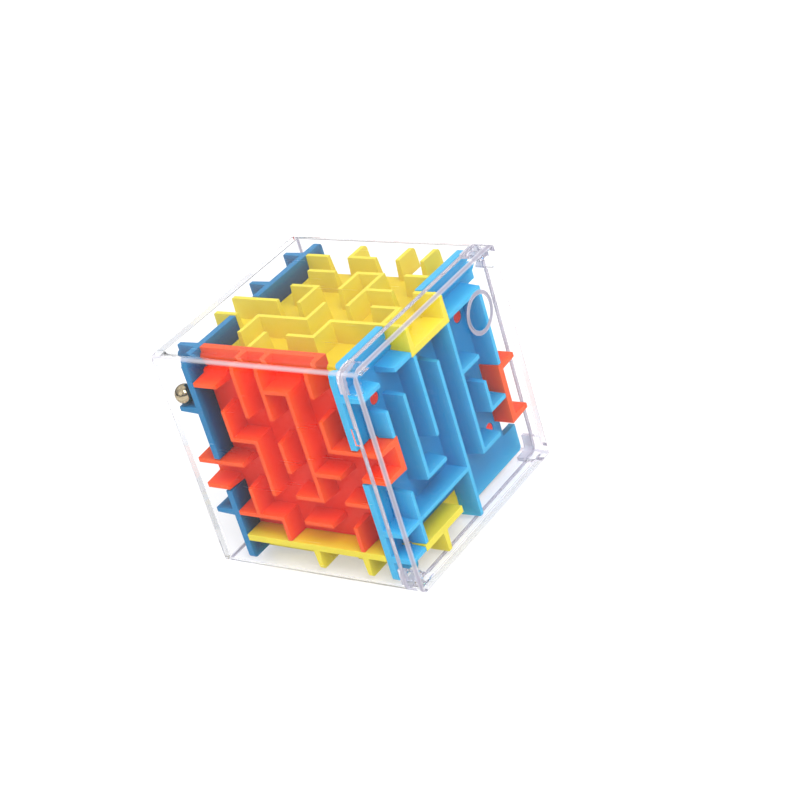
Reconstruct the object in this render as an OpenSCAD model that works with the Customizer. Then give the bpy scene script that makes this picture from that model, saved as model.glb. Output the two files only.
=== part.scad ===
// 3D maze ball puzzle.
// A clear two-piece cube case holds a hollow cube of six maze panels. One loose steel ball
// rolls in the lanes between the panels' floors, their walls and the case.
// Millimetres, +Z up, origin at the middle of the underside, and the case's lid faces +X.
//
// The maze is drawn on grid lines, one lane and one wall apart, numbered -3 to 3 on every
// face. Lines -4 and 4 stand for the rim, where a wall meets the case.
// The front is -Y, the back +Y, the lid side +X and the far side -X.

/* [Ball and lanes] */
// Diameter of the steel ball
ball_d = 4.5; // [3.6:0.1:6]
// How much wider than the ball its lanes are
ball_play = 0.5; // [0.4:0.05:1.2]
// How much deeper than the ball its lanes are, from a panel's floor to the case
ball_depth_play = 1.3; // [0.8:0.1:1.6]
// Gap that the ball rests above the spur under it
ball_rest = 0.05; // [0.05:0.05:0.2]
// Gap between the ball and the two walls of the case beside it
ball_side = 0.1; // [0.05:0.05:0.3]

/* [Maze panels] */
// Thickness of the panels' floors and walls
wall_t = 1.6; // [1.2:0.1:2.2]
// Gap between the tops of the walls and the case
rim_gap = 0.8; // [0.1:0.1:1]
// Gap between one panel and the next
fit = 0.1; // [0.05:0.05:0.2]
// Radius of the maze's corners along its four edges from the far side to the lid side
maze_long_r = 1; // [0.3:0.1:2]
// Radius of the maze's corners along its eight other edges
maze_short_r = 0.4; // [0.2:0.1:2]

/* [Pegs] */
// Thickness of the blocks inside the front and back panels
block_w = 4.8; // [4:0.1:6]
// Height of those blocks
block_h = 8.8; // [5:0.2:10]
// Length of those blocks
block_l = 7; // [6:0.5:12]
// Diameter of the pegs on the ends of the blocks
peg_d = 2.8; // [2:0.1:3.2]
// Depth that each peg stops below the floor of the panel it goes through
peg_sunk = 0.2; // [0.1:0.1:0.5]
// Diameter of the pins under the top and bottom panels
pin_d = 1.8; // [1.2:0.1:2.4]
// Length of those pins
pin_l = 3; // [2:0.5:4]
// Gap around each peg and pin in its hole
peg_fit = 0.1; // [0.05:0.05:0.2]

/* [Case] */
// Thickness of the clear walls
case_wall = 1.1; // [0.8:0.1:1.6]
// Outside radius of the case's four edges that run to the lid
case_long_r = 3; // [1:0.1:3.4]
// Outside radius of the case's eight other edges
case_short_r = 1.2; // [0.4:0.1:2]
// Inside radius of all the case's edges
case_inner_r = 1.2; // [0.1:0.1:1.6]

/* [Lid] */
// Depth of the lid's rim, from its outer face to the seam
lid_depth = 4.2; // [2.5:0.1:5]
// Gap at the seam
seam_gap = 0.1; // [0.1:0.05:0.3]
// Length of each leg of the four corner lugs
lug_leg = 4.6; // [3:0.1:5]
// Thickness of the lugs
lug_t = 1; // [0.8:0.1:1.2]
// How far the lugs reach past the seam into the case
lug_reach = 1.6; // [1:0.1:2.8]
// Gap between the lugs and the case
lug_fit = 0.1; // [0.05:0.05:0.2]
// Outer diameter of the round mark sunk in the lid
mark_d = 9.6; // [6:0.1:12]
// Width of its groove
mark_w = 0.7; // [0.4:0.1:1.2]
// Depth of its groove
mark_depth = 0.35; // [0.2:0.05:0.5]
// Distance of the mark's centre from the middle of the lid, each way
mark_at = 16.1; // [0:0.1:18]
// Width of the nick in the body's rim, where a nail opens the lid
nick_w = 4; // [2:0.5:6]
// Length of the nick, back from the seam
nick_l = 1.2; // [0.4:0.1:1.5]
// Height of the nick above the middle of the case
nick_at = 12; // [0:1:16]

/* [Hidden] */
pitch = ball_d + ball_play + wall_t;
depth = ball_d + ball_depth_play;
lines = 3;                                      // grid lines on each side of a face's middle
plate_in = lines * pitch - wall_t / 2;          // centre of the maze to a floor's inner face
floor_out = plate_in + wall_t;                  // and to its outer face, which the ball rolls on
base = plate_in - fit;                          // half of a floor's square
case_in = floor_out + depth;                    // centre to the case's inner faces
case_out = case_in + case_wall;
rim = case_in - rim_gap;                        // centre to the tops of the walls
past = rim + 1;                                 // where a stretch ends that is cut at the rim
peg_y = base - block_w / 2;                     // each peg's place, from the middle of the maze
peg_z = base - block_h / 2;
peg_holes = [for (u = [-1, 1], v = [-1, 1]) [u * peg_y, v * peg_z]];
pin_at = base - block_l / 2;                    // each pin's place along a block
seam_x = case_out - lid_depth;
spur_line = 2;                                  // the far side's spur that the ball rests over
far_hole = [-1.5, 0.5];                         // the far side's spare hole, in grid lines
clear = 1;                                      // how far a cutting shape runs past a face
$fn = 96;

orange = [0.93, 0.27, 0.11];
yellow = [0.93, 0.86, 0.25];
blue = [0.20, 0.60, 0.82];

// The low and the high side of grid line k, and where a wall that ends on it ends.
function lo(k) = k * pitch - wall_t / 2;
function hi(k) = k * pitch + wall_t / 2;
function wall_from(k) = k < -lines ? -past : lo(k);
function wall_to(k) = k > lines ? past : hi(k);

// Edges of the maze cube. A flange carries a panel's floor past the edge to the rim, a tongue
// does so through a gap in the next panel's flange, and a lap stops at the next floor.
// Each stretch is [from, to] along the edge.
front_top_flange = [[-base, hi(2)]];                                // front panel's
front_top_lap = [[hi(2) + fit, base]];                              // top panel's
front_bottom_flange = [[-base, base]];                              // bottom panel's
front_lid_flange = [[hi(1) + fit, past], [-past, lo(0) - fit]];     // lid side's
front_lid_tongue = [[lo(0), hi(1)]];                                // front panel's
front_far_flange = [[hi(0) + fit, past], [-past, lo(-1) - fit]];    // far side's
front_far_tongue = [[lo(-1), hi(0)]];                               // front panel's
top_lid_flange = [[hi(1) + fit, past], [-past, lo(-1) - fit]];      // lid side's
top_lid_tongue = [[lo(-1), hi(1)]];                                 // top panel's
top_far_flange = [[hi(0) + fit, past], [-past, lo(-1) - fit]];      // far side's
top_far_tongue = [[lo(-1), hi(0)]];                                 // top panel's
bottom_lid_flange = [[lo(0), past]];                                // lid side's
bottom_lid_tongue = [[lo(-3), hi(-1)]];                             // bottom panel's
bottom_lid_lap = [[lo(-1), lo(0) - fit]];                           // bottom panel's
bottom_far_flange = [[hi(1) + fit, past], [-past, lo(-1) - fit]];   // far side's
bottom_far_tongue = [[lo(-1), hi(1)]];                              // bottom panel's
back_top_lap = [[-base, base]];                                     // top panel's
back_bottom_flange = [[-base, base]];                               // back panel's
back_lid_tongue = [[lo(-2), hi(0)]];                                // back panel's
back_lid_lap = [[hi(0) + fit, base], [-base, lo(-2) - fit]];        // lid side's
back_far_flange = [[hi(1) + fit, past], [-past, lo(-1) - fit]];     // far side's
back_far_tongue = [[lo(-1), hi(1)]];                                // back panel's

// Walls: [grid line, from, to]. Those of the upright lists stand on a line of the face's
// first direction (x, or y on the two sides) and those of the level lists on its second.
front_upright = [[-2, 1, 2], [-2, -2, -1], [-1, 2, 4], [-1, -1, 1], [-1, -3, -2], [0, 2, 4],
    [0, 0, 1], [1, -1, 3], [2, 3, 4], [2, 1, 2], [2, -3, -2]];
front_level = [[3, -3, -2], [3, 0, 1], [1, -2, -1], [1, 2, 4], [0, -4, -2], [0, 1, 2],
    [0, 3, 4], [-1, -4, -3], [-1, 0, 1], [-1, 2, 3], [-2, -3, -1], [-2, 0, 1]];
top_upright = [[-2, -2, -1], [-1, 0, 1], [-1, -3, -2], [-1, 3, 4], [0, -1, 0], [0, 1, 2],
    [1, -2, -1], [1, 0, 2], [1, 3, 4], [2, 3, 4], [3, -1, 0]];
top_level = [[3, -3, -2], [3, -1, 0], [2, -2, -1], [2, 0, 1], [2, 2, 3], [1, -2, -1],
    [1, 1, 2], [1, 3, 4], [0, -4, -2], [0, 2, 3], [-1, -4, -3], [-1, -2, 0], [-1, 1, 4],
    [-2, 0, 1]];
lid_upright = [[-3, 1, 2], [-3, -3, -1], [-2, -1, 2], [-1, 0, 3], [0, -4, 2], [1, -2, 3],
    [2, -1, 0], [3, 0, 3]];
lid_level = [[3, -4, -3], [3, -2, -1], [3, 1, 3], [1, 1, 2], [-1, -2, -1], [-1, 2, 3],
    [-2, -4, 0], [-2, 1, 2], [-3, -4, -3]];
bottom_upright = [[0, -4, -2], [-2, -2, 0], [-2, 2, 3], [1, -2, -1], [2, -4, -3], [2, 2, 3],
    [3, -1, 0]];
bottom_level = [[-3, -3, -1], [-3, 1, 2], [-2, -2, -1], [-2, 1, 4], [-1, -4, -3], [-1, -1, 2],
    [0, -2, -1], [0, 0, 2], [1, -4, 2], [2, -1, 1]];
far_upright = [[-3, 0, 1], [-3, 3, 4], [-2, -2, -1], [-2, -4, -3], [-1, 2, 3], [-1, -3, -2],
    [1, 1, 4], [3, 3, 4], [0, -3, -1], [2, -2, 2]];
far_level = [[3, -3, -2], [2, -4, -3], [2, -2, -1], [0, -2, -1], [-1, -3, -2], [-2, -4, -3],
    [1, -1, 1], [-2, 0, 2], [2, 2, 3], [-1, -1, 0]];
back_upright = [[-2, -4, -3], [0, -4, -3], [-2, 0, 2], [1, 1, 2], [0, 0, 2], [2, -1, 1],
    [-1, -2, 0], [2, -3, -2]];
back_level = [[0, 3, 4], [-2, 3, 4], [1, -4, -3], [-1, -4, -3], [1, -1, 0], [2, -1, 0],
    [2, 1, 3], [-2, -1, 1], [-2, -3, -2], [-1, 0, 2], [0, -2, -1]];

// A square with rounded corners, and a long bar of it.
module rounded_square(half, r) {
    square([2 * half, 2 * (half - r)], center = true);
    square([2 * (half - r), 2 * half], center = true);
    for (x = [-1, 1], y = [-1, 1]) translate([x * (half - r), y * (half - r)]) circle(r);
}

module rounded_bar(half, r) {
    linear_extrude(height = 2 * (half + clear), center = true) rounded_square(half, r);
}

// A cube with its edges rounded: long_r on those along X and short_r on all others.
module rounded_cube(half, long_r, short_r) {
    intersection() {
        rotate([90, 0, 90]) rounded_bar(half, long_r);
        rotate([90, 0, 0]) rounded_bar(half, short_r);
        rounded_bar(half, short_r);
    }
}

// Places a panel, which is drawn as the top face, on its own face of the cube.
module on_bottom() mirror([0, 0, 1]) children();
module on_front() rotate([90, 0, 0]) children();
module on_back() mirror([0, 1, 0]) on_front() children();
module on_lid_side() rotate([90, 0, 90]) children();
module on_far_side() mirror([1, 0, 0]) on_lid_side() children();

// Everything is drawn around the cube's centre, and stands on its underside.
module stand() translate([0, 0, case_out]) children();

// Stretches of floor past one edge. The side is [1, 0], [-1, 0], [0, 1] or [0, -1].
module strips(side, stretches, from, to) {
    mid = (from + to) / 2;
    for (s = stretches) {
        along = (s[0] + s[1]) / 2;
        width = s[1] - s[0];
        if (side[0] != 0) translate([side[0] * mid, along]) square([to - from, width], center = true);
        else translate([along, side[1] * mid]) square([width, to - from], center = true);
    }
}

module skirt(side, stretches) strips(side, stretches, base, past);

module lap(side, stretches) strips(side, stretches, base, floor_out);

// Where the next panel's flange or tongue stands across this face, with its gap.
module blocked(side, stretches, gap) {
    grown = [for (s = stretches) [s[0] - gap, s[1] + gap]];
    strips(side, grown, plate_in - fit, floor_out + fit);
}

module walls(upright, level) {
    for (w = upright) translate([lo(w[0]), wall_from(w[1])])
        square([wall_t, wall_to(w[2]) - wall_from(w[1])]);
    for (w = level) translate([wall_from(w[1]), lo(w[0])])
        square([wall_to(w[2]) - wall_from(w[1]), wall_t]);
}

// One panel, drawn as the top face. The first child adds to its floor, and the second is
// taken out of its walls. Pegs pass through the holes, and a wall may stand over one.
module panel(upright, level, holes = []) {
    translate([0, 0, plate_in]) linear_extrude(height = wall_t) difference() {
        union() {
            square(2 * base, center = true);
            children(0);
        }
        for (at = holes) translate(at) circle(d = peg_d + 2 * peg_fit);
    }
    translate([0, 0, floor_out]) linear_extrude(height = past - floor_out) difference() {
        walls(upright, level);
        children(1);
    }
}

// Cuts a panel to the rounded cube that just clears the case.
module within_rim() {
    intersection() {
        children();
        rounded_cube(rim, maze_long_r, maze_short_r);
    }
}

// The four blocks inside the front panel, with their pegs, and the holes for the pins.
module blocks() {
    for (x = [-1, 1], z = [-1, 1]) {
        translate([x * pin_at, -(peg_y + wall_t / 2), z * peg_z])
            cube([block_l, block_w + wall_t, block_h], center = true);
        translate([x * (floor_out - peg_sunk), -peg_y, z * peg_z]) rotate([0, -90 * x, 0])
            cylinder(h = wall_t + block_l / 2, d = peg_d);
    }
}

module pin_holes() {
    for (x = [-1, 1], z = [-1, 1])
        translate([x * pin_at, -peg_y, z * (base - pin_l / 2 + clear / 2)])
            cylinder(h = pin_l + clear + 2 * peg_fit, d = pin_d + 2 * peg_fit, center = true);
}

// The four pins under the top panel.
module pins() {
    for (x = [-1, 1], y = [-1, 1])
        translate([x * pin_at, y * peg_y, base - pin_l])
            cylinder(h = pin_l + wall_t / 2, d = pin_d);
}

module front_orange_panel() {
    color(orange) stand() difference() {
        union() {
            within_rim() on_front() panel(front_upright, front_level) {
                union() {
                    skirt([0, 1], front_top_flange);
                    skirt([1, 0], front_lid_tongue);
                    skirt([-1, 0], front_far_tongue);
                }
                union() {
                    blocked([0, -1], front_bottom_flange, 0);
                    blocked([1, 0], front_lid_flange, 0);
                    blocked([-1, 0], front_far_flange, 0);
                }
            }
            blocks();
        }
        pin_holes();
    }
}

module back_orange_panel() {
    color(orange) stand() difference() {
        union() {
            within_rim() on_back() panel(back_upright, back_level) {
                union() {
                    skirt([0, -1], back_bottom_flange);
                    skirt([1, 0], back_lid_tongue);
                    skirt([-1, 0], back_far_tongue);
                }
                blocked([-1, 0], back_far_flange, 0);
            }
            mirror([0, 1, 0]) blocks();
        }
        mirror([0, 1, 0]) pin_holes();
    }
}

module top_yellow_panel() {
    color(yellow) stand() {
        within_rim() panel(top_upright, top_level) {
            union() {
                lap([0, -1], front_top_lap);
                lap([0, 1], back_top_lap);
                skirt([1, 0], top_lid_tongue);
                skirt([-1, 0], top_far_tongue);
            }
            union() {
                blocked([0, -1], front_top_flange, 0);
                blocked([1, 0], top_lid_flange, 0);
                blocked([-1, 0], top_far_flange, 0);
            }
        }
        pins();
    }
}

module bottom_yellow_panel() {
    color(yellow) stand() on_bottom() {
        within_rim() panel(bottom_upright, bottom_level) {
            union() {
                skirt([0, -1], front_bottom_flange);
                skirt([1, 0], bottom_lid_tongue);
                lap([1, 0], bottom_lid_lap);
                skirt([-1, 0], bottom_far_tongue);
            }
            union() {
                blocked([0, 1], back_bottom_flange, 0);
                blocked([1, 0], bottom_lid_flange, 0);
                blocked([-1, 0], bottom_far_flange, 0);
            }
        }
        pins();
    }
}

module lid_side_blue_panel() {
    color(blue) stand() within_rim() on_lid_side() difference() {
        panel(lid_upright, lid_level, peg_holes) {
            union() {
                skirt([-1, 0], front_lid_flange);
                skirt([0, 1], top_lid_flange);
                skirt([0, -1], bottom_lid_flange);
                lap([1, 0], back_lid_lap);
            }
            union() {
                blocked([-1, 0], front_lid_tongue, fit);
                blocked([0, 1], top_lid_tongue, fit);
                blocked([0, -1], bottom_lid_tongue, fit);
                blocked([1, 0], back_lid_tongue, fit);
            }
        }
        bottom_tongue_notch();
    }
}

// The bottom panel's tongue also passes the lid side's flange over the front.
module bottom_tongue_notch() {
    translate([0, 0, plate_in - clear]) linear_extrude(height = wall_t + 2 * clear)
        blocked([0, -1], bottom_lid_tongue, fit);
}

module far_side_blue_panel() {
    color(blue) stand() within_rim() on_far_side()
        panel(far_upright, far_level, concat(peg_holes, [far_hole * pitch])) {
            union() {
                skirt([-1, 0], front_far_flange);
                skirt([0, 1], top_far_flange);
                skirt([0, -1], bottom_far_flange);
                skirt([1, 0], back_far_flange);
            }
            union() {
                blocked([-1, 0], front_far_tongue, fit);
                blocked([0, 1], top_far_tongue, fit);
                blocked([0, -1], bottom_far_tongue, fit);
                blocked([1, 0], back_far_tongue, fit);
            }
        }
}

// The ball, in the upright lane between the front and the far side, close to the case.
module steel_ball() {
    at = case_in - ball_side - ball_d / 2;
    color("silver") stand() translate([-at, -at, hi(spur_line) + ball_rest + ball_d / 2])
        sphere(d = ball_d);
}

// The whole clear shell, which the body and the lid share.
module clear_shell() {
    difference() {
        rounded_cube(case_out, case_long_r, case_short_r);
        rounded_cube(case_in, case_inner_r, case_inner_r);
    }
}

module beyond(x) translate([x, -case_out - clear, -case_out - clear])
    cube(2 * (case_out + clear));

module case_body() {
    color([0.85, 0.88, 0.95, 0.3]) stand() difference() {
        clear_shell();
        beyond(seam_x);
        translate([seam_x - nick_l, -case_out - clear, nick_at - nick_w / 2])
            cube([nick_l + clear, clear + case_wall / 2, nick_w]);
    }
}

// Four L-shaped lugs that guide the lid into the case's corners.
module lugs() {
    half = case_in - lug_fit;
    tip = seam_x - lug_reach;
    translate([tip, 0, 0]) rotate([90, 0, 90])
        linear_extrude(height = case_in + case_wall / 2 - tip) intersection() {
            difference() {
                rounded_square(half, case_inner_r);
                rounded_square(half - lug_t, case_inner_r);
            }
            for (u = [-1, 1], v = [-1, 1]) translate([u * half, v * half])
                square(2 * lug_leg, center = true);
        }
}

module case_lid() {
    color([0.85, 0.88, 0.95, 0.3]) stand() difference() {
        union() {
            intersection() {
                clear_shell();
                beyond(seam_x + seam_gap);
            }
            lugs();
        }
        translate([case_out - mark_depth, mark_at, mark_at]) rotate([0, 90, 0]) difference() {
            cylinder(h = mark_depth + clear, d = mark_d);
            translate([0, 0, -clear])
                cylinder(h = mark_depth + 3 * clear, d = mark_d - 2 * mark_w);
        }
    }
}

case_body();
case_lid();
front_orange_panel();
back_orange_panel();
top_yellow_panel();
bottom_yellow_panel();
lid_side_blue_panel();
far_side_blue_panel();
steel_ball();
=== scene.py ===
"""A clear cube case around six coloured maze panels, with one loose steel ball.

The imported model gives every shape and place. The panels, the case and the ball are redrawn
from it as finished mouldings: soft edges, waxy coloured plastic, clear plastic and polished
steel. Lengths are in metres.
"""

import math

import bmesh
import bpy
import numpy as np
from mathutils import Matrix, Vector


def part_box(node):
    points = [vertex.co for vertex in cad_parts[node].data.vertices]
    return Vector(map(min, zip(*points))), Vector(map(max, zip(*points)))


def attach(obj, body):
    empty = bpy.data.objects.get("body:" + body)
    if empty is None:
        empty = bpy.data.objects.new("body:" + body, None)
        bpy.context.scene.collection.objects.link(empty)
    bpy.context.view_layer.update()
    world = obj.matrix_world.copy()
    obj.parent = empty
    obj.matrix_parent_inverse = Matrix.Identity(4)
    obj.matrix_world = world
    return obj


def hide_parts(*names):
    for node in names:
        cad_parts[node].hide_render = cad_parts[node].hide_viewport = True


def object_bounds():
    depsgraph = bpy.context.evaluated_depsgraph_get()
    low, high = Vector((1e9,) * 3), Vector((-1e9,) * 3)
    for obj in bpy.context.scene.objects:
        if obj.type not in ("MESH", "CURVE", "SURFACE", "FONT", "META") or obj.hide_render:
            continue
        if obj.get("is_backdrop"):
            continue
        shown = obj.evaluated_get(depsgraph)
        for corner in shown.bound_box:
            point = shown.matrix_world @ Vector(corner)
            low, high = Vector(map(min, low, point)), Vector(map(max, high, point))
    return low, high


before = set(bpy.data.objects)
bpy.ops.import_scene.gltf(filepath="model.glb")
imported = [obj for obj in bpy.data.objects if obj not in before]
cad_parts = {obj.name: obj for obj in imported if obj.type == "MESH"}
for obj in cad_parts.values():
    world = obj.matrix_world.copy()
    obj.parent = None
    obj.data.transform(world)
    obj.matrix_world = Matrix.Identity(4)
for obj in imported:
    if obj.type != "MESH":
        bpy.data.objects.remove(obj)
cad_low, cad_high = (Vector(corner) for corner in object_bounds())
centre = (cad_low + cad_high) / 2

MM = 0.001

# How the mouldings are finished.
PANEL_EDGE = 0.4 * MM         # rounding of the panels' edges and of the corners at their floors
CASE_EDGE = 0.12 * MM         # rounding of the case's edges at its seam and lugs
EDGE_STEPS = 3
SHARP = math.radians(35)      # edges that turn more than this are rounded
FLAT = math.radians(0.5)      # triangles that turn less than this are one face
WELD = 0.002 * MM             # points closer than this are one point

# The maze's grid, as the model draws it. Heights are from the middle of the maze.
PITCH = 6.6 * MM              # from one line to the next
LINES = 3                     # lines on each side of a face's middle
WALL = 1.6 * MM               # thickness of a wall at its floor
WALL_SLACK = 0.02 * MM        # a point this far off a wall still belongs to it
WALL_HEIGHT = 5.0 * MM
DRAFT = 0.38                  # how much thinner a wall is at its rim than at the floor
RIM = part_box("top_yellow_panel")[1][2] - centre.z
FLOOR = RIM - WALL_HEIGHT

# The clear case, from its middle.
OUTSIDE = cad_high.z - centre.z
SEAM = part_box("case_body")[1][0] - centre.x
MARK_AT = 16.1 * MM           # the round mark's centre from the middle of the lid, each way
MARK_RADIUS = 4.45 * MM       # to the middle of its groove

# Where the case gets painted light lines: a milky colour that stands in for the light lines of
# its edges, seam, mark and lugs. A pair is two depths under the outside: it is clear down from
# the first and fully painted up from the second.
LONG_EDGES = (1.40 * MM, 0.95 * MM)     # the edges that run to the lid
SHORT_EDGES = (0.95 * MM, 0.50 * MM)    # the other edges
MARK_SKIN = (0.6 * MM, 0.5 * MM)
MARK_REACH = 0.6 * MM         # to each side of the mark's groove
SEAM_REACH = 0.22 * MM        # to each side of the seam
LUG_START = 0.1 * MM          # from the seam to where the lugs are fully painted


# ---------------------------------------------------------------- meshes

def draft(mesh, axis, side):
    """Tapers a panel's walls, as a mould needs: a point h over the floors moves towards the
    middle of its wall, by the share DRAFT of its distance from it times h over the height of
    the walls. Points off the walls, and those at the case, stay."""
    points = np.empty(len(mesh.vertices) * 3)
    mesh.vertices.foreach_get("co", points)
    points = points.reshape(-1, 3)
    offset = points - np.array(centre)
    height = np.clip((offset[:, axis] * side - FLOOR) / (RIM - FLOOR), 0, 1)
    for across in {0, 1, 2} - {axis}:
        line = np.round(offset[:, across] / PITCH)
        from_line = offset[:, across] - line * PITCH
        on_wall = (np.abs(from_line) < WALL / 2 + WALL_SLACK) & (np.abs(line) <= LINES)
        points[:, across] -= np.where(on_wall, from_line * height * DRAFT, 0)
    mesh.vertices.foreach_set("co", points.ravel())


def standing(name, mesh):
    """A smooth object of this mesh, at the origin, in the scene."""
    mesh.shade_smooth()
    piece = bpy.data.objects.new(name, mesh)
    bpy.context.collection.objects.link(piece)
    return piece


def moulding(node, name, edge, outwards=None):
    """A finished copy of a CAD node: its triangles are welded, flat areas become single
    faces, a panel's walls are tapered, and every sharp edge is rounded to the given radius.
    outwards is the axis and the side that a panel faces, and None for the case."""
    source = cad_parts[node]
    mesh = source.data.copy()
    mesh.name = name
    mesh.materials.clear()
    work = bmesh.new()
    work.from_mesh(mesh)
    bmesh.ops.remove_doubles(work, verts=work.verts, dist=WELD)
    bmesh.ops.dissolve_limit(work, angle_limit=FLAT, verts=work.verts, edges=work.edges)
    work.to_mesh(mesh)
    work.free()
    if outwards:
        draft(mesh, *outwards)
    piece = standing(name, mesh)
    bevel = piece.modifiers.new("soft_edges", "BEVEL")
    bevel.width = edge
    bevel.segments = EDGE_STEPS
    bevel.limit_method = "ANGLE"
    bevel.angle_limit = SHARP
    bevel.use_clamp_overlap = True
    bevel.harden_normals = False
    bevel.miter_outer = "MITER_ARC"
    weighted = piece.modifiers.new("flat_faces", "WEIGHTED_NORMAL")
    weighted.mode = "FACE_AREA"
    weighted.weight = 50
    weighted.keep_sharp = True
    return piece


def ball(node, name, rings=48, sides=96):
    """A sphere that fills the node's box: z = r cos(t), x = r sin(t) cos(turn) and
    y = r sin(t) sin(turn), for t from pole to pole. Its rings are joined by four-sided faces,
    and each pole is one point with a fan of triangles round it."""
    low, high = (np.array(corner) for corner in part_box(node))
    middle, radius = (low + high) / 2, (high - low).min() / 2
    t = np.linspace(0, np.pi, rings + 1)[1:-1]
    turn = np.linspace(0, 2 * np.pi, sides, endpoint=False)
    t, turn = np.meshgrid(t, turn, indexing="ij")
    grid = np.stack([np.sin(t) * np.cos(turn), np.sin(t) * np.sin(turn), np.cos(t)], axis=-1)
    poles = [[0, 0, 1], [0, 0, -1]]
    points = np.concatenate([grid.reshape(-1, 3), poles]) * radius + middle
    side = np.arange(sides)
    beside = (side + 1) % sides
    first_of_ring = np.arange(rings - 1)[:, None] * sides
    here, there = first_of_ring + side, first_of_ring + beside
    quads = np.stack([here[:-1], here[1:], there[1:], there[:-1]], axis=-1).reshape(-1, 4)
    top, bottom = (rings - 1) * sides, (rings - 1) * sides + 1
    cap = np.stack([np.full(sides, top), here[0], there[0]], axis=-1)
    foot = np.stack([np.full(sides, bottom), there[-1], here[-1]], axis=-1)
    mesh = bpy.data.meshes.new(name)
    mesh.from_pydata(points.tolist(), [], quads.tolist() + cap.tolist() + foot.tolist())
    return standing(name, mesh)


# ---------------------------------------------------------------- materials

class Nodes:
    """A short way to build a material's node tree."""

    def __init__(self, name):
        self.material = bpy.data.materials.new(name)
        self.material.use_nodes = True
        self.tree = self.material.node_tree
        self.shader = self.tree.nodes["Principled BSDF"]

    def add(self, kind, **values):
        made = self.tree.nodes.new(kind)
        for key, value in values.items():
            setattr(made, key, value)
        return made

    def link(self, out, into):
        self.tree.links.new(out, into)

    def coordinates(self, scale=1.0):
        """Object coordinates, in units of 1 / scale metres."""
        where = self.add("ShaderNodeTexCoord")
        mapping = self.add("ShaderNodeMapping")
        mapping.inputs["Scale"].default_value = (scale, scale, scale)
        self.link(where.outputs["Object"], mapping.inputs["Vector"])
        return mapping.outputs["Vector"]

    def noise(self, where, detail):
        """Noise from 0 to 1, with grains about one unit of where wide."""
        made = self.add("ShaderNodeTexNoise")
        made.inputs["Scale"].default_value = 1.0
        made.inputs["Detail"].default_value = detail
        self.link(where, made.inputs["Vector"])
        return made.outputs["Fac"]

    def grains(self, scale, detail=3.0):
        """Noise with round grains, about 1 / scale metres wide."""
        return self.noise(self.coordinates(scale), detail)

    def ramp(self, value, stops):
        """A colour ramp. stops is a list of (position, colour)."""
        made = self.add("ShaderNodeValToRGB")
        first, last = made.color_ramp.elements
        first.position, first.color = stops[0][0], (*stops[0][1], 1)
        last.position, last.color = stops[-1][0], (*stops[-1][1], 1)
        for position, colour in stops[1:-1]:
            stop = made.color_ramp.elements.new(position)
            stop.color = (*colour, 1)
        self.link(value, made.inputs["Fac"])
        return made.outputs["Color"]

    def math(self, operation, first, second=0.0):
        """first and second put together. Each is a socket or a number."""
        made = self.add("ShaderNodeMath", operation=operation)
        for socket, value in zip(made.inputs, (first, second)):
            if isinstance(value, (int, float)):
                socket.default_value = value
            else:
                self.link(value, socket)
        return made.outputs[0]

    def span(self, value, low, high):
        """value moved from 0..1 to low..high."""
        made = self.add("ShaderNodeMapRange")
        made.inputs["To Min"].default_value = low
        made.inputs["To Max"].default_value = high
        self.link(value, made.inputs["Value"])
        return made.outputs["Result"]

    def bump(self, height, strength, distance):
        """Raises the shader's surface where height is over 0."""
        made = self.add("ShaderNodeBump")
        made.inputs["Strength"].default_value = strength
        made.inputs["Distance"].default_value = distance
        self.link(height, made.inputs["Height"])
        self.link(made.outputs["Normal"], self.shader.inputs["Normal"])


def from_middle(nodes):
    """How far a point is from the middle of the case, along x, y and z."""
    where = nodes.add("ShaderNodeTexCoord")
    offset = nodes.add("ShaderNodeVectorMath", operation="SUBTRACT")
    offset.inputs[1].default_value = centre
    nodes.link(where.outputs["Object"], offset.inputs[0])
    split = nodes.add("ShaderNodeSeparateXYZ")
    nodes.link(offset.outputs["Vector"], split.inputs["Vector"])
    return split.outputs[0], split.outputs[1], split.outputs[2]


def rise(nodes, value, low, high):
    """0 where value is at low, 1 where it is at high, and straight between."""
    made = nodes.add("ShaderNodeMapRange")
    made.inputs["From Min"].default_value = low
    made.inputs["From Max"].default_value = high
    nodes.link(value, made.inputs["Value"])
    return made.outputs["Result"]


def near(nodes, value, middle, reach):
    """1 where value is middle, down to 0 where it is farther from it than reach."""
    apart = nodes.math("ABSOLUTE", nodes.math("SUBTRACT", value, middle))
    return rise(nodes, apart, reach, reach * 0.6)


def height_over_floor(nodes):
    """How far a point is from the maze's middle, along whichever axis is farthest: 0 at the
    floors of the lanes and 1 at the tops of the walls."""
    x, y, z = (nodes.math("ABSOLUTE", far) for far in from_middle(nodes))
    farthest = nodes.math("MAXIMUM", nodes.math("MAXIMUM", x, y), z)
    return rise(nodes, farthest, FLOOR, RIM)


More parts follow.
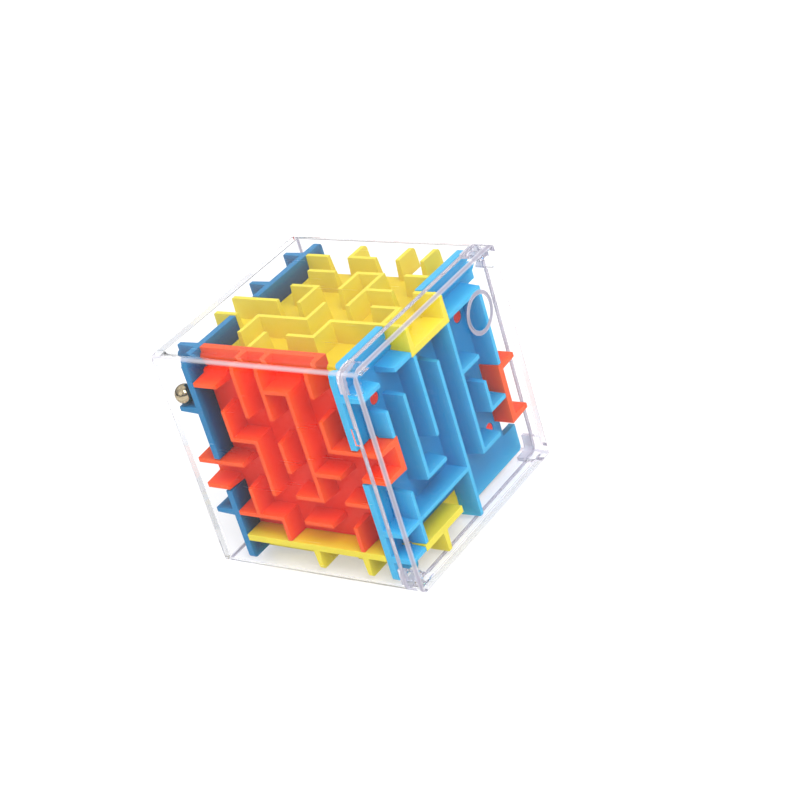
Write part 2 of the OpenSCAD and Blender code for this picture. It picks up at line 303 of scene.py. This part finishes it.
def moulded_plastic(name, floor, wall, rim, glow):
    """Waxy coloured plastic. Its colour is painted by height: deepest at the floors of the
    lanes, painted shade, and lightest at the rims of the walls, painted light that stands in
    for light shining through them. Faint flow marks and a fine grain."""
    nodes = Nodes(name)
    # Painted shade and painted light: the colour runs from darkest at the floors to lightest at
    # the rims.
    colour = nodes.ramp(height_over_floor(nodes), [(0.0, floor), (0.6, wall), (1.0, rim)])
    flow = nodes.grains(180, detail=2.0)
    tint = nodes.add("ShaderNodeMix", data_type="RGBA", blend_type="MULTIPLY")
    tint.inputs["Factor"].default_value = 1.0
    nodes.link(colour, tint.inputs["A"])
    nodes.link(nodes.ramp(flow, [(0.3, (0.93, 0.93, 0.93)), (0.7, (1.0, 1.0, 1.0))]),
               tint.inputs["B"])
    nodes.link(tint.outputs["Result"], nodes.shader.inputs["Base Color"])
    nodes.link(nodes.span(nodes.grains(900), 0.36, 0.52), nodes.shader.inputs["Roughness"])
    nodes.shader.inputs["IOR"].default_value = 1.47
    nodes.shader.inputs["Specular IOR Level"].default_value = 0.2
    nodes.shader.inputs["Subsurface Weight"].default_value = 0.2
    nodes.shader.inputs["Subsurface Radius"].default_value = glow
    nodes.shader.inputs["Subsurface Scale"].default_value = 1.2 * MM
    grain = nodes.math("ADD", nodes.grains(4000, detail=4.0), nodes.grains(500, detail=1.0))
    nodes.bump(grain, 0.12, 0.05 * MM)
    return nodes.material


def under_face(nodes, value, skin):
    """0 where value is deeper under the case's outside than the first of skin, and 1 where it
    is nearer to it than the second."""
    deep, shallow = skin
    return rise(nodes, value, OUTSIDE - deep, OUTSIDE - shallow)


def painted_edge_light(nodes, lugs):
    """Where the case's painted light lines go: 1 at the case's short edges, at the seam and at
    the mark, a share of it at the long edges and in the lugs, and 0 elsewhere."""
    x, y, z = from_middle(nodes)
    along, across, up = (nodes.math("ABSOLUTE", far) for far in (x, y, z))
    long_edges = under_face(nodes, nodes.math("MINIMUM", across, up), LONG_EDGES)
    short_edges = nodes.math("MINIMUM", along, nodes.math("MAXIMUM", across, up))
    short_edges = under_face(nodes, short_edges, SHORT_EDGES)
    inside_seam = rise(nodes, x, SEAM, SEAM - LUG_START)
    squares = [nodes.math("POWER", nodes.math("SUBTRACT", far, MARK_AT), 2.0)
               for far in (y, z)]
    from_mark = nodes.math("SQRT", nodes.math("ADD", *squares))
    mark = near(nodes, from_mark, MARK_RADIUS, MARK_REACH)
    painted_lines = nodes.math("MULTIPLY", long_edges, 0.7)
    for other in (short_edges, nodes.math("MULTIPLY", inside_seam, lugs),
                  near(nodes, x, SEAM, SEAM_REACH),
                  nodes.math("MULTIPLY", mark, under_face(nodes, x, MARK_SKIN))):
        painted_lines = nodes.math("MAXIMUM", painted_lines, other)
    return painted_lines


def scratches(nodes):
    """1 on long thin lines that all run one slanted way, and 0 between them."""
    slanted = nodes.add("ShaderNodeMapping")
    slanted.inputs["Rotation"].default_value = (0.5, 0.7, 0.4)
    slanted.inputs["Scale"].default_value = (60, 3500, 3500)
    nodes.link(nodes.coordinates(), slanted.inputs["Vector"])
    return rise(nodes, nodes.noise(slanted.outputs["Vector"], detail=2.0), 0.70, 0.76)


def clear_plastic(name, lugs):
    """Clear moulded polystyrene. Its edges, the seam, the mark and the lugs are painted a milky
    grey-lilac, painted light lines that stand in for the light the clear plastic shows there,
    and its faces have fine handling scratches. Shadows and soft light pass straight through it,
    and so does a ray that has already met many of its walls."""
    nodes = Nodes(name)
    painted_lines = painted_edge_light(nodes, lugs)
    # Painted light lines: where the mask is 1 the clear plastic turns a part-opaque grey-lilac
    # that stands in for the light lines at the case's edges, seam, mark and lugs.
    nodes.link(nodes.ramp(painted_lines, [(0.0, (0.99, 0.99, 1.0)), (0.7, (0.66, 0.64, 0.70)),
                                  (1.0, (0.40, 0.38, 0.45))]),
               nodes.shader.inputs["Base Color"])
    nodes.link(nodes.span(painted_lines, 1.0, 0.18), nodes.shader.inputs["Transmission Weight"])
    nodes.link(nodes.span(scratches(nodes), 0.0, 0.3), nodes.shader.inputs["Roughness"])
    nodes.shader.inputs["IOR"].default_value = 1.18
    nodes.shader.inputs["Specular IOR Level"].default_value = 0.12
    open_air = nodes.add("ShaderNodeBsdfTransparent")
    open_air.inputs["Color"].default_value = (0.97, 0.97, 0.985, 1.0)
    path = nodes.add("ShaderNodeLightPath")
    straight = nodes.math("MAXIMUM", path.outputs["Is Shadow Ray"],
                          path.outputs["Is Diffuse Ray"])
    deep = nodes.math("GREATER_THAN", path.outputs["Ray Depth"], 6.0)
    straight = nodes.math("MAXIMUM", straight, deep)
    mixed = nodes.add("ShaderNodeMixShader")
    nodes.link(straight, mixed.inputs["Fac"])
    nodes.link(nodes.shader.outputs["BSDF"], mixed.inputs[1])
    nodes.link(open_air.outputs["BSDF"], mixed.inputs[2])
    nodes.link(mixed.outputs["Shader"],
               nodes.tree.nodes["Material Output"].inputs["Surface"])
    return nodes.material


def polished_steel(name):
    """A bearing ball: bright, with a very faint brushed haze. Its base colour is darkened,
    a painted reflection of the dark surroundings that the ball mirrors.
    """
    nodes = Nodes(name)
    nodes.shader.inputs["Metallic"].default_value = 1.0
    haze = nodes.grains(1500, detail=2.0)
    # Painted reflection: a darkened base colour that stands in for the dark surroundings the
    # ball reflects; the grains vary it at random.
    nodes.link(nodes.ramp(haze, [(0.3, (0.36, 0.29, 0.17)), (0.7, (0.46, 0.38, 0.24))]),
               nodes.shader.inputs["Base Color"])
    nodes.link(nodes.span(haze, 0.05, 0.10), nodes.shader.inputs["Roughness"])
    return nodes.material


# ---------------------------------------------------------------- the object

# Each panel's plastic, and the axis and the side that it faces.
PANELS = {
    "front_orange_panel": ("orange", (1, -1)),
    "back_orange_panel": ("orange", (1, 1)),
    "top_yellow_panel": ("yellow", (2, 1)),
    "bottom_yellow_panel": ("yellow", (2, -1)),
    "lid_side_blue_panel": ("blue", (0, 1)),
    # painted shade: the far side's panel is the same blue plastic, given a darker copy of it
    "far_side_blue_panel": ("shaded_blue", (0, -1)),
}
# Each plastic's colour at the floors, on the walls and at the rims, and how far red, green and
# blue light spread in it. The floors are painted darker, painted shade, and the rims lighter,
# painted light.
PLASTICS = {
    "orange": moulded_plastic("orange_moulding", (0.84, 0.022, 0.001), (0.92, 0.042, 0.003),
                              (0.92, 0.090, 0.006), (1.0, 0.25, 0.08)),
    "yellow": moulded_plastic("yellow_moulding", (0.75, 0.56, 0.004), (0.80, 0.66, 0.012),
                              (0.82, 0.70, 0.045), (1.0, 0.8, 0.2)),
    "blue": moulded_plastic("blue_moulding", (0.004, 0.23, 0.50), (0.008, 0.31, 0.60),
                            (0.050, 0.45, 0.73), (0.1, 0.4, 1.0)),
    # Painted shade: the blue plastic made much darker for the far side's panel, which is the
    # same plastic as the lid side's.
    "shaded_blue": moulded_plastic("shaded_blue_moulding", (0.003, 0.025, 0.09),
                                 (0.005, 0.07, 0.20), (0.012, 0.20, 0.42), (0.1, 0.4, 1.0)),
}

for node, (colour, outwards) in PANELS.items():
    piece = moulding(node, node.replace("_panel", "_moulding"), PANEL_EDGE, outwards)
    piece.data.materials.append(PLASTICS[colour])
    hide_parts(node)
    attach(piece, "maze")

for node, name, body, lugs in (("case_body", "clear_body", "maze", 0.0),
                               ("case_lid", "clear_lid", "lid", 0.55)):
    piece = moulding(node, name, CASE_EDGE)
    piece.data.materials.append(clear_plastic(name.replace("clear", "clear_plastic"), lugs))
    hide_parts(node)
    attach(piece, body)

rolling_ball = ball("steel_ball", "rolling_ball")
rolling_ball.data.materials.append(polished_steel("ball_steel"))
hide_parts("steel_ball")
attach(rolling_ball, "ball")


# ---------------------------------------------------------------- the studio

def studio_floor():
    """A plain pale floor under the case."""
    half = 3.0
    mesh = bpy.data.meshes.new("floor")
    corners = [(-half, -half), (half, -half), (half, half), (-half, half)]
    mesh.from_pydata([(x, y, cad_low.z) for x, y in corners], [], [(0, 1, 2, 3)])
    floor = bpy.data.objects.new("floor", mesh)
    bpy.context.collection.objects.link(floor)
    nodes = Nodes("pale_floor")
    nodes.shader.inputs["Base Color"].default_value = (0.62, 0.62, 0.62, 1)
    nodes.shader.inputs["Emission Color"].default_value = (1, 1, 1, 1)
    nodes.shader.inputs["Emission Strength"].default_value = 0.42
    nodes.shader.inputs["Roughness"].default_value = 0.6
    mesh.materials.append(nodes.material)
    floor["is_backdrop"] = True


def softbox(name, towards, distance, size, power):
    """A square lamp that faces the case from the given direction."""
    light = bpy.data.lights.new(name, "AREA")
    light.energy = power
    light.size = size
    lamp = bpy.data.objects.new(name, light)
    lamp.location = centre + Vector(towards).normalized() * distance
    lamp.rotation_euler = (centre - lamp.location).to_track_quat("-Z", "Y").to_euler()
    bpy.context.collection.objects.link(lamp)


def studio_light():
    """A white tent that is brightest overhead and dim at the horizon, with a large lamp at the
    upper right and a weak one in front."""
    world = bpy.data.worlds.new("studio")
    world.use_nodes = True
    tree = world.node_tree
    towards = tree.nodes.new("ShaderNodeTexCoord")
    split = tree.nodes.new("ShaderNodeSeparateXYZ")
    tree.links.new(towards.outputs["Generated"], split.inputs["Vector"])
    tent = tree.nodes.new("ShaderNodeValToRGB")
    tent.color_ramp.elements[0].color = (0.02, 0.02, 0.02, 1)
    tent.color_ramp.elements[1].color = (1, 1, 1, 1)
    for height, white in ((0.20, 0.03), (0.32, 0.50)):
        tent.color_ramp.elements.new(height).color = (white, white, white, 1)
    tree.links.new(split.outputs["Z"], tent.inputs["Fac"])
    background = tree.nodes["Background"]
    background.inputs["Strength"].default_value = 1.35
    tree.links.new(tent.outputs["Color"], background.inputs["Color"])
    bpy.context.scene.world = world
    softbox("key", (0.75, -0.35, 1.0), 1.2, 0.7, 9.5)
    softbox("fill", (-0.2, -1.0, 0.5), 1.2, 0.8, 1.5)


def studio_camera():
    """Looks down on the corner between the front, the top and the lid, turned clockwise."""
    camera = bpy.data.cameras.new("camera")
    camera.sensor_width = 36.0
    camera.lens = 89.7
    camera.clip_start = 0.01
    camera.clip_end = 20.0
    rig = bpy.data.objects.new("camera", camera)
    eye = centre + Vector((263.57, -282.14, 204.28)) * MM
    aim = centre + Vector((7.67, 5.66, -1.24)) * MM
    roll = math.radians(-17.04)
    turn = (aim - eye).to_track_quat("-Z", "Y").to_matrix() @ Matrix.Rotation(roll, 3, "Z")
    rig.matrix_world = Matrix.Translation(eye) @ turn.to_4x4()
    bpy.context.collection.objects.link(rig)
    bpy.context.scene.camera = rig


studio_floor()
studio_light()
studio_camera()
scene = bpy.context.scene
scene.view_settings.view_transform = "Standard"
scene.cycles.max_bounces = 24
scene.cycles.glossy_bounces = 12
scene.cycles.transmission_bounces = 16
